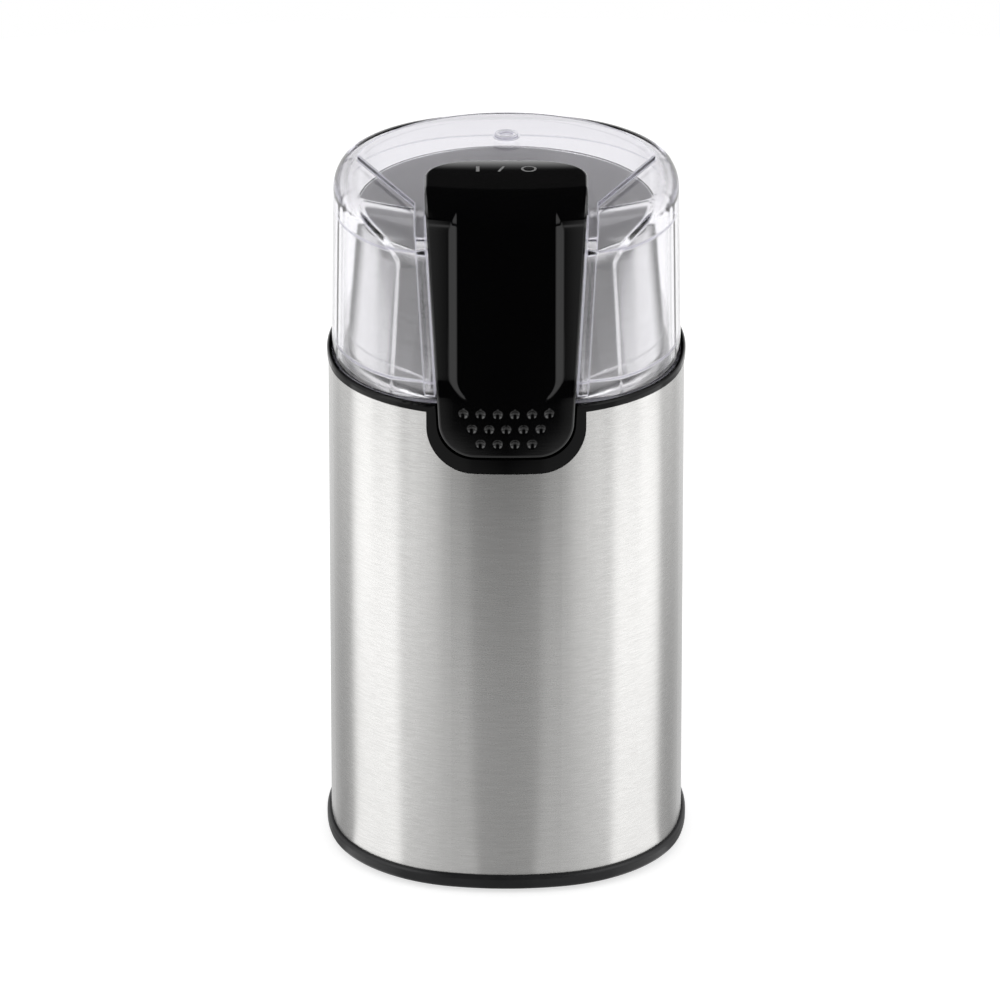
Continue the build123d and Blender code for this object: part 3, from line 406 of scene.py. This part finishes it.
def lid_room(turn):
    """Distance from the axis to the inside of the lid's foot, by direction."""
    face_radius, face_reach = 0.0671, 0.025
    corner_radius, corner_reach = 0.0351, 0.00636
    front_radius, front_reach = 0.0780, 0.0388
    face_share = 0.33
    across, along = sorted((abs(sin(turn)), abs(cos(turn))))
    if across < face_share * along:
        wall = sqrt((along * face_reach) ** 2 + face_radius ** 2 - face_reach ** 2) - along * face_reach
    else:
        lean = corner_reach * (across + along)
        wall = sqrt(lean ** 2 + corner_radius ** 2 - 2 * corner_reach ** 2) + lean
    lean = front_reach * cos(turn)
    return min(wall, sqrt(lean ** 2 + front_radius ** 2 - front_reach ** 2) - lean)


scene = bpy.context.scene


def solid(name, points, faces, material, body, sharp=40.0):
    """Smooth mesh piece with crisp edges, riding on a body."""
    mesh = bpy.data.meshes.new(name)
    mesh.from_pydata(points, [], faces)
    tidy = bmesh.new()
    tidy.from_mesh(mesh)
    same_place = 1e-7
    bmesh.ops.remove_doubles(tidy, verts=tidy.verts, dist=same_place)
    bmesh.ops.recalc_face_normals(tidy, faces=tidy.faces)
    tidy.to_mesh(mesh)
    tidy.free()
    mesh.shade_smooth()
    mesh.set_sharp_from_angle(angle=radians(sharp))
    mesh.materials.append(material)
    piece = bpy.data.objects.new(name, mesh)
    scene.collection.objects.link(piece)
    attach(piece, body)
    return piece


flange_steps = 180
bowl_wall, flange_low, flange_top = 0.03762, 0.13182, 0.13225
flange_bevel, flange_drop = 0.0002, 0.0001
skirt_top, skirt_foot, skirt_lip = 0.1682, 0.0409, 0.0002
skirt_bulge, bulge_share = 0.0001, 0.04
lid_gap = 0.0006
skirt_shares = (0.0, bulge_share, 0.12, 0.25, 0.4, 0.55, 0.7, 0.85, 0.95, 1.0)
flange_points, flange_faces = [], []
for step in range(flange_steps):
    turn = 2 * pi * step / flange_steps
    rim = lid_room(turn)
    profile = [(bowl_wall, flange_low), (bowl_wall, skirt_top)]
    for share in skirt_shares:
        bulge = skirt_bulge * min(share / bulge_share, 1.0)
        flare = min(bowl_wall + bulge + (skirt_foot - bowl_wall) * share, rim - lid_gap)
        profile.append((flare, skirt_top + skirt_lip * (1.0 - share) - (skirt_top - flange_top) * share))
    profile += [(rim - flange_bevel, flange_top), (rim, flange_top - flange_drop), (rim, flange_low)]
    for reach, level in profile:
        flange_points.append((reach * sin(turn), -reach * cos(turn), level))
ring = len(profile)
for step in range(flange_steps):
    here = step * ring
    beside = (step + 1) % flange_steps * ring
    for place in range(ring):
        after = (place + 1) % ring
        flange_faces.append((here + place, here + after, beside + after, beside + place))
flange = solid("bowl_flange", flange_points, flange_faces, drawn_steel, "body")

# Blade. Punched from spring steel, its two arms bent one up and one down and ground along the leading edge,
# held on the shaft by a domed nut.


def ground_sheet(tree):
    strokes = tree.noise(1.0, 3.0, (900.0, 60.0, 900.0))
    return {
        "Base Color": strokes.mix((0.48, 0.48, 0.48, 1.0), (0.66, 0.66, 0.65, 1.0)),
        "Roughness": 0.2 + 0.16 * strokes,
        "Height": (0.12, 0.00006, strokes),
    }


ground_steel = finish("ground_steel", {"Metallic": 1.0}, ground_sheet)
dress(ground_steel, "blade", "blade_nut")

# Lid. Clear styrene, moulded in one piece with the ribs that carry the lever on two blasted steel pins. It is
# colourless where it is thin and faintly violet in its edges, which are rounded and carry a painted
# highlight.

edge_samples = 6


def clear_moulding(tree):
    edge_round = 0.0009
    haze = tree.noise(70.0, 4.0)
    return {
        "Roughness": 0.004 + 0.02 * haze.ramp(0.55, 0.8),
        "Normal": tree.add("ShaderNodeBevel", {"samples": edge_samples}, {"Radius": edge_round}),
    }


def painted_edge_highlight_share(tree):
    """Share of the painted edge highlight, by how far the rounding of an edge turns the surface."""
    edge_reach, edge_share = 0.0008, 0.7
    rounded = tree.add("ShaderNodeBevel", {"samples": edge_samples}, {"Radius": edge_reach})
    flat = tree.add("ShaderNodeNewGeometry", out="Normal")
    facing = tree.add("ShaderNodeVectorMath", {"operation": "DOT_PRODUCT"}, {0: rounded, 1: flat},
                      out="Value")
    return (1.0 - facing).ramp(0.015, 0.16) * edge_share


clear_styrene = finish("clear_styrene", {"Base Color": (0.985, 0.982, 0.992, 1.0), "IOR": 1.5,
                                         "Transmission Weight": 1.0}, clear_moulding)
lid_tree = clear_styrene.node_tree
lid_wire = Wire(lid_tree)
lid_clear = Wire(lid_tree, lid_tree.nodes["Principled BSDF"].outputs[0])
# A pale violet-white diffuse, mixed into the rounded edges, is a painted highlight.
painted_edge_highlight = lid_wire.add("ShaderNodeBsdfDiffuse", None, {"Color": (0.87, 0.86, 0.97, 1.0)})
lid_body = lid_wire.add("ShaderNodeMixShader", None, {0: painted_edge_highlight_share(lid_wire), 1: lid_clear, 2: painted_edge_highlight})
shadow_ray = lid_wire.add("ShaderNodeLightPath", out="Is Shadow Ray")
shadow_pass = lid_wire.add("ShaderNodeBsdfTransparent", None, {"Color": (0.93, 0.925, 0.94, 1.0)})
lid_mix = lid_wire.add("ShaderNodeMixShader", None, {0: shadow_ray, 1: lid_body, 2: shadow_pass})
violet = lid_wire.add("ShaderNodeVolumeAbsorption", None, {"Color": (0.70, 0.66, 0.86, 1.0), "Density": 18.0})
lid_output = lid_tree.nodes["Material Output"]
lid_tree.links.new(lid_mix.socket, lid_output.inputs["Surface"])
lid_tree.links.new(violet.socket, lid_output.inputs["Volume"])
dress(clear_styrene, "lid")


def blasted_skin(tree):
    grain = tree.noise(2400.0, 2.0)
    return {
        "Base Color": grain.mix((0.76, 0.76, 0.77, 1.0), (0.86, 0.86, 0.86, 1.0)),
        "Roughness": 0.46 + 0.12 * grain,
        "Height": (0.1, 0.00004, grain),
    }


blasted_steel = finish("blasted_steel", {"Metallic": 0.4}, blasted_skin)
dress(blasted_steel, "lever_pins")

# Press lever. A glossy black moulding that swings on two pins between the ribs of the lid: a long blade that
# rolls over into a flat head with a skirt. Its front has a raised panel and rows of grip dimples, and the
# mark for on and off is printed on the head.

gloss_black = finish("gloss_black", {"IOR": 1.5}, wiped_gloss)
lever_tip = 0.1193
lever_top = 0.1883
lever_roll = 0.0075
lever_axis_y = 0.0386
lever_radius = 0.084
lever_rear = -0.0156
lever_wall = 0.002
skirt_depth = 0.0078
tip_corner = 0.0085
rear_corner = 0.014
skin_gap = 0.00005
face_length = lever_top - lever_roll - lever_tip
roll_length = lever_roll * pi / 2
lever_front = lever_axis_y - lever_radius
top_length = lever_rear - (lever_front + lever_roll)
lever_length = face_length + roll_length + top_length


def lever_half(z):
    """Half width of the lever, which widens evenly from its tip."""
    low_half, low_level = 0.0169, 0.127
    growth, growth_height = 0.003, 0.055
    return low_half + (z - low_level) * growth / growth_height


def smooth(value):
    """Soft step from nought to one."""
    value = min(max(value, 0.0), 1.0)
    return value * value * (3.0 - 2.0 * value)


def bevelled(value):
    """Straight slope from nought to one with short soft ends."""
    slope, ease, ease_power = 1.14, 0.123, 8
    value = min(max(value, 0.0), 1.0)
    return (value - 0.5) * slope * (1.0 - ease * (2.0 * value - 1.0) ** ease_power) + 0.5


def rounded_gap(across, along, half, length, low_corner, high_corner):
    """Distance in from the edge of a strip whose ends have round corners."""
    gap = min(half - across, along, length - along)
    for corner, end in ((low_corner, along), (high_corner, length - along)):
        side_in = across - (half - corner)
        end_in = corner - end
        if side_in > 0.0 and end_in > 0.0:
            gap = min(gap, corner - sqrt(side_in ** 2 + end_in ** 2))
    return gap


def lever_point(x, along, depth):
    """Point of the lever at a place across and along its skin, and a depth under it."""
    sag = lever_radius - sqrt(lever_radius ** 2 - x * x)
    if along < face_length:
        return (x, lever_front + sag + depth, lever_tip + along)
    turn = min((along - face_length) / lever_roll, pi / 2)
    reach = lever_roll - depth
    past = max(along - face_length - roll_length, 0.0)
    sag *= 1.0 - smooth(past / top_length)
    roll_y, roll_z = lever_front + lever_roll, lever_top - lever_roll
    return (x, roll_y - reach * cos(turn) + past + sag, roll_z + reach * sin(turn))


def head_crown(y):
    """Fall of the lever's head, which curves down a little towards its rear edge."""
    crown_fall, crown_length = 0.0007, 0.009
    return crown_fall * max(1.0 - (lever_rear - y) / crown_length, 0.0) ** 2


def lever_rows():
    """Places along the lever, close together at both ends and over the grip."""
    tip_end, grip_end, rear_end = 0.0024, 0.0129, 0.006
    end_steps, grip_steps, plain_steps = 12, 72, 150
    plain = lever_length - rear_end - grip_end
    rows = [tip_end * (step / end_steps) ** 2 for step in range(end_steps)]
    rows += [tip_end + (grip_end - tip_end) * step / grip_steps for step in range(grip_steps)]
    rows += [grip_end + plain * step / plain_steps for step in range(plain_steps)]
    return rows + [lever_length - rear_end * (step / end_steps) ** 2 for step in range(end_steps, -1, -1)]


grip_counts = (4, 5, 6)
grip_pitch, grip_low, grip_rise = 0.00427, 0.0037, 0.00397
grip_places = [((place - (count - 1) / 2) * grip_pitch, grip_low + grip_rise * row)
               for row, count in enumerate(grip_counts) for place in range(count)]


def grip_dip(x, along):
    """Depth of the grip dimples, shallow ball-shaped hollows."""
    dimple_radius, ball_radius, ball_lift = 0.00115, 0.001477, 0.000927
    for centre, level in grip_places:
        out = (x - centre) ** 2 + (along - level) ** 2
        if out < dimple_radius ** 2:
            return sqrt(ball_radius ** 2 - out) - ball_lift
    return 0.0


def panel_flush(x, along):
    """One on the lever's raised panel, nought in the sunk bands beside it, with a bevel between."""
    panel_half, panel_corner, panel_bevel = 0.0073, 0.0070, 0.0021
    curve_top, curve_depth = 0.0208, 0.0052
    foot_end, foot_fade = 0.0215, 0.007
    head_start, head_fade = 0.0600, 0.0060
    curve_in = min(max(curve_top - along, 0.0), curve_depth)
    panel = panel_half + sqrt(panel_corner ** 2 - curve_in ** 2) - abs(x)
    return max(bevelled(panel / panel_bevel), smooth((foot_end - along) / foot_fade),
               smooth((along - head_start) / head_fade))


def lever_shares():
    """Places across the lever as shares of its half width, close together at both edges."""
    flat_share, edge_share = 0.783, 0.217
    flat_steps, edge_steps = 86, 20
    edge = [flat_share + edge_share * sin(pi / 2 * step / edge_steps) for step in range(edge_steps + 1)]
    flat = [flat_share * step / flat_steps for step in range(1 - flat_steps, flat_steps)]
    return [-share for share in reversed(edge)] + flat + edge


def make_lever():
    """Skin, skirt and hollow back of the lever, row by row from the tip to the rear."""
    edge_round, head_edge = 0.0006, 0.0002
    panel_height = 0.00062
    least_inside_share = 0.3
    back_steps = 8
    points, faces, rings = [], [], []
    shares = lever_shares()
    for along in lever_rows():
        head = smooth((along - face_length) / roll_length)
        half = lever_half(min(lever_tip + along, lever_top))
        width = half
        for corner, end in ((tip_corner, along), (rear_corner, lever_length - along)):
            if end < corner:
                width = half - corner + sqrt(max(corner ** 2 - (corner - end) ** 2, 0.0))
        edge = edge_round + head_edge * head
        skin = []
        for share in shares:
            x = share * width
            gap = max(rounded_gap(abs(x), along, half, lever_length, tip_corner, rear_corner), 0.0)
            fall = edge - sqrt(edge ** 2 - (edge - gap) ** 2) if gap < edge else 0.0
            fall += skin_gap * head + head_crown(lever_rear + along - lever_length)
            skin.append((x, fall + panel_height * (1.0 - panel_flush(x, along)) + grip_dip(x, along)))
        depth = lever_wall + (skirt_depth - lever_wall) * head
        rear = smooth((along - lever_length + 2 * lever_wall) / lever_wall)
        hollow = lever_wall + (depth - lever_wall) * rear + skin_gap
        inside = max(width - lever_wall, least_inside_share * width)
        back = [(width, depth), (inside, depth)]
        back += [(inside * (1.0 - step / back_steps), hollow) for step in range(2 * back_steps + 1)]
        back += [(-inside, depth), (-width, depth)]
        ring = []
        for x, under in skin + back:
            ring.append(len(points))
            points.append(lever_point(x, along, under))
        rings.append(ring)
    for ring, after in zip(rings, rings[1:]):
        for step in range(len(ring)):
            beside = (step + 1) % len(ring)
            faces.append((ring[step], ring[beside], after[beside], after[step]))
    faces.append(tuple(reversed(rings[0])))
    faces.append(tuple(rings[-1]))
    return points, faces


lever_points, lever_faces = make_lever()
pin_y, pin_z = -0.0408, 0.1746
lug_radius, lug_inner, lug_outer = 0.0017, 0.0132, 0.0189
lug_sides = 32
for side in (-1, 1):
    base = len(lever_points)
    for x in (side * lug_inner, side * lug_outer):
        for step in range(lug_sides):
            turn = 2 * pi * step / lug_sides
            lever_points.append((x, pin_y + lug_radius * cos(turn), pin_z + lug_radius * sin(turn)))
    inner = list(range(base, base + lug_sides))
    outer = list(range(base + lug_sides, base + 2 * lug_sides))
    for step in range(lug_sides):
        beside = (step + 1) % lug_sides
        lever_faces.append((inner[step], inner[beside], outer[beside], outer[step]))
    lever_faces += [tuple(inner), tuple(outer)]
lever = solid("lever_moulding", lever_points, lever_faces, gloss_black, "lever")
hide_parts("press_lever")


def printed_ink(tree):
    specks = tree.noise(3000.0, 3.0)
    return {
        "Base Color": specks.ramp(0.25, 0.6).mix((0.10, 0.10, 0.10, 1.0), (0.24, 0.24, 0.24, 1.0)),
        "Roughness": 0.45 + 0.2 * specks,
    }


def stroke_ring(points, faces, path, width, lift, closed):
    """Flat printed stroke along a path on the lever's top."""
    base = len(points)
    count = len(path)
    for step, (x, y) in enumerate(path):
        before = path[step - 1] if step or closed else path[step]
        after = path[(step + 1) % count] if step < count - 1 or closed else path[step]
        along = Vector((after[0] - before[0], after[1] - before[1])).normalized()
        for side in (-1, 1):
            edge_y = y + side * along.x * width / 2
            points.append((x - side * along.y * width / 2, edge_y, lift - head_crown(edge_y)))
    for step in range(count if closed else count - 1):
        low, high = base + 2 * step, base + 2 * ((step + 1) % count)
        faces.append((low, low + 1, high + 1, high))


ink = finish("printed_ink", {"IOR": 1.5}, printed_ink)
mark_points, mark_faces = [], []
mark_y, mark_reach = -0.0236, 0.0019
ink_sink = 0.00001
mark_top = lever_top - ink_sink
bar_x, bar_width = -0.0071, 0.00085
slash_low_x, slash_high_x, slash_width = -0.0019, -0.0006, 0.00060
ring_x, ring_half_x, ring_half_y, ring_width = 0.0056, 0.00165, 0.0018, 0.00055
bar = [(bar_x, mark_y - mark_reach), (bar_x, mark_y + mark_reach)]
slash = [(slash_low_x, mark_y - mark_reach), (slash_high_x, mark_y + mark_reach)]
circle = [(ring_x + ring_half_x * cos(radians(a)), mark_y + ring_half_y * sin(radians(a)))
          for a in range(0, 360, 6)]
stroke_ring(mark_points, mark_faces, bar, bar_width, mark_top, False)
stroke_ring(mark_points, mark_faces, slash, slash_width, mark_top, False)
stroke_ring(mark_points, mark_faces, circle, ring_width, mark_top, True)
mark = solid("lever_mark", mark_points, mark_faces, ink, "lever")

# Studio. A white sweep under and behind the machine, soft boxes at both sides, and a dark room behind the
# camera, which stands in front and looks slightly down. Mirrors see the walls and the sweep in bands of light
# and dark, which stand for flags and reflectors round the machine.

scene.view_settings.view_transform = "Standard"

near_stops = [(0.0, 0.64), (0.078, 0.68), (0.100, 0.95), (0.25, 0.98), (0.36, 1.04), (0.385, 1.70),
              (0.635, 1.80), (0.67, 0.66), (0.80, 0.56), (0.90, 0.76), (1.0, 1.0)]
far_stops = [(0.0, 0.004), (0.105, 0.006), (0.140, 0.30), (0.20, 0.75), (0.29, 1.10), (0.33, 0.29),
             (0.485, 0.29), (0.515, 1.25), (0.73, 1.30), (0.80, 0.40), (0.84, 0.02), (0.94, 0.02),
             (0.965, 0.8), (1.0, 1.0)]
black, gloom_black = (0.0, 0.0, 0.0, 1.0), (0.006, 0.006, 0.006, 1.0)
white, plain_grey = (1.0, 1.0, 1.0, 1.0), (0.55, 0.55, 0.55, 1.0)


def room_light(turn, stops):
    """Brightness of the room by direction, from the camera's side round to the back."""
    greys = [(place, (level,) * 3) for place, level in stops]
    return turn.add("ShaderNodeValToRGB", {"stops": greys}, {"Fac": turn})


def turn_of(x, y):
    """Direction from the machine, nought at the camera's side and one at the back."""
    return x.math("ARCTAN2", x.math("ABSOLUTE", x), -1.0 * y) / pi


def split(vector):
    """The three parts of a vector."""
    apart = vector.add("ShaderNodeSeparateXYZ", None, {0: vector})
    return [Wire(vector.tree, part) for part in apart.socket.node.outputs]


def ray(rays, name):
    """One output of the node that tells rays apart."""
    return Wire(rays.tree, rays.socket.node.outputs[name])


def seen_plainly(rays):
    """One for what the camera sees straight, or through the lid and its edges without a mirror between."""
    no_mirror, few_walls = 0.5, 3.5
    straight = rays.math("LESS_THAN", ray(rays, "Glossy Depth"), no_mirror)
    edges = rays.math("LESS_THAN", ray(rays, "Transmission Depth"), few_walls)
    through_lid = ray(rays, "Is Transmission Ray") * rays.math("MAXIMUM", straight, edges)
    return rays.math("MAXIMUM", ray(rays, "Is Camera Ray"), through_lid)


world = bpy.data.worlds.new("studio")
scene.world = world
world.use_nodes = True
sky = Wire(world.node_tree)
sky_rays = sky.add("ShaderNodeLightPath")
sky_x, sky_y, sky_z = split(sky.add("ShaderNodeTexCoord", out="Generated"))
walls = room_light(turn_of(sky_x, sky_y), near_stops)
gloom = 1.0 - sky.math("ABSOLUTE", sky_x).ramp(0.40, 0.60) * sky_z.ramp(-0.22, -0.10)
walls = gloom.mix(walls, gloom_black)
backdrop = sky_y.ramp(0.20, 0.40) * (1.0 - sky_z.ramp(0.05, 0.38))
walls = backdrop.mix(walls, white)
plain = ray(sky_rays, "Is Diffuse Ray").mix(walls, plain_grey)
colour = seen_plainly(sky_rays).mix(plain, white)
background = world.node_tree.nodes["Background"]
world.node_tree.links.new(colour.socket, background.inputs["Color"])

floor_half_x, floor_half_y = 0.64, 0.60
floor_edge = [(floor_half_x * cos(radians(a)), floor_half_y * sin(radians(a)), 0.0) for a in range(0, 360, 3)]
floor_mesh = bpy.data.meshes.new("floor")
floor_mesh.from_pydata(floor_edge, [], [list(range(len(floor_edge)))])
floor = bpy.data.objects.new("floor", floor_mesh)
scene.collection.objects.link(floor)
sweep = bpy.data.materials.new("white_sweep")
sweep.use_nodes = True
sweep_tree = Wire(sweep.node_tree)
sweep_rays = sweep_tree.add("ShaderNodeLightPath")
sweep_x, sweep_y, _ = split(sweep_tree.add("ShaderNodeNewGeometry", out="Position"))
paper = sweep.node_tree.nodes["Principled BSDF"]
paper.inputs["Base Color"].default_value = plain_grey
paper.inputs["Roughness"].default_value = 0.9
seen = seen_plainly(sweep_rays)
glow = sweep_tree.add("ShaderNodeEmission", None, {"Color": white, "Strength": 0.66})
lit = sweep_tree.add("ShaderNodeMixShader", None, {0: seen, 2: glow})
lit = sweep_tree.add("ShaderNodeAddShader", None, {0: Wire(sweep.node_tree, paper.outputs[0]), 1: lit})
side_pull, machine_reach, close_shade, lid_walls = 0.134, 0.0225, 0.24, 1.5
spread = sweep_x * sweep_x + sweep_y * sweep_y
outward = (spread - side_pull * sweep_tree.math("ABSOLUTE", sweep_x)).ramp(0.092, 0.110)
near_turn = turn_of(sweep_x, sweep_y) / (1.0 - machine_reach / sweep_tree.math("SQRT", spread))
# Close to the machine the sweep, as mirrors see it, is darkened: a painted shade.
painted_close_shade = (1.0 - spread.ramp(0.0, 0.07)) * close_shade
near_light = painted_close_shade.mix(room_light(near_turn, near_stops), black)
lying_light = outward.mix(near_light, room_light(near_turn, far_stops))
through = sweep_tree.math("GREATER_THAN", ray(sweep_rays, "Transmission Depth"), lid_walls)
skimmed = near_turn.ramp(0.74, 0.82) * outward * (1.0 - through)
lying_light = skimmed.mix(lying_light, white)
mirrored = sweep_tree.add("ShaderNodeEmission", None, {"Color": lying_light})
in_mirror = ray(sweep_rays, "Is Glossy Ray") * (1.0 - seen)
both = sweep_tree.add("ShaderNodeMixShader", None, {0: in_mirror, 1: lit, 2: mirrored})
sweep.node_tree.links.new(both.socket, sweep.node_tree.nodes["Material Output"].inputs["Surface"])
floor_mesh.materials.append(sweep)

lamp_target = 0.1
lamps = [("softbox_left", -62.0, 0.75, 1.3, 4.0, (0.7, 1.1)),
         ("softbox_right", 62.0, 0.75, 1.3, 4.0, (0.7, 1.1)),
         ("softbox_top", 180.0, 1.5, 0.35, 4.0, (1.0, 0.7))]
for name, turn, height, reach, power, size in lamps:
    lamp = bpy.data.lights.new(name, "AREA")
    lamp.shape = "RECTANGLE"
    lamp.size, lamp.size_y = size
    lamp.energy = power
    box = bpy.data.objects.new(name, lamp)
    box.location = (reach * sin(radians(turn)), -reach * cos(radians(turn)), height)
    aim = Vector((0.0, 0.0, lamp_target)) - box.location
    box.rotation_euler = aim.to_track_quat("-Z", "Y").to_euler()
    box.visible_camera = False
    box.visible_glossy = name != "softbox_top"
    scene.collection.objects.link(box)

camera_distance = 2.5144
camera_pitch = radians(22.92)
camera_target = 0.086
lens = bpy.data.cameras.new("camera")
lens.lens = 355.5
lens.sensor_width = 36.0
lens.shift_x = -0.0063
lens.shift_y = 0.0110
lens.clip_end = 20.0
camera = bpy.data.objects.new("camera", lens)
camera.location = (0.0, -camera_distance * cos(camera_pitch),
                   camera_target + camera_distance * sin(camera_pitch))
camera.rotation_euler = (pi / 2 - camera_pitch, 0.0, 0.0)
scene.collection.objects.link(camera)
scene.camera = camera
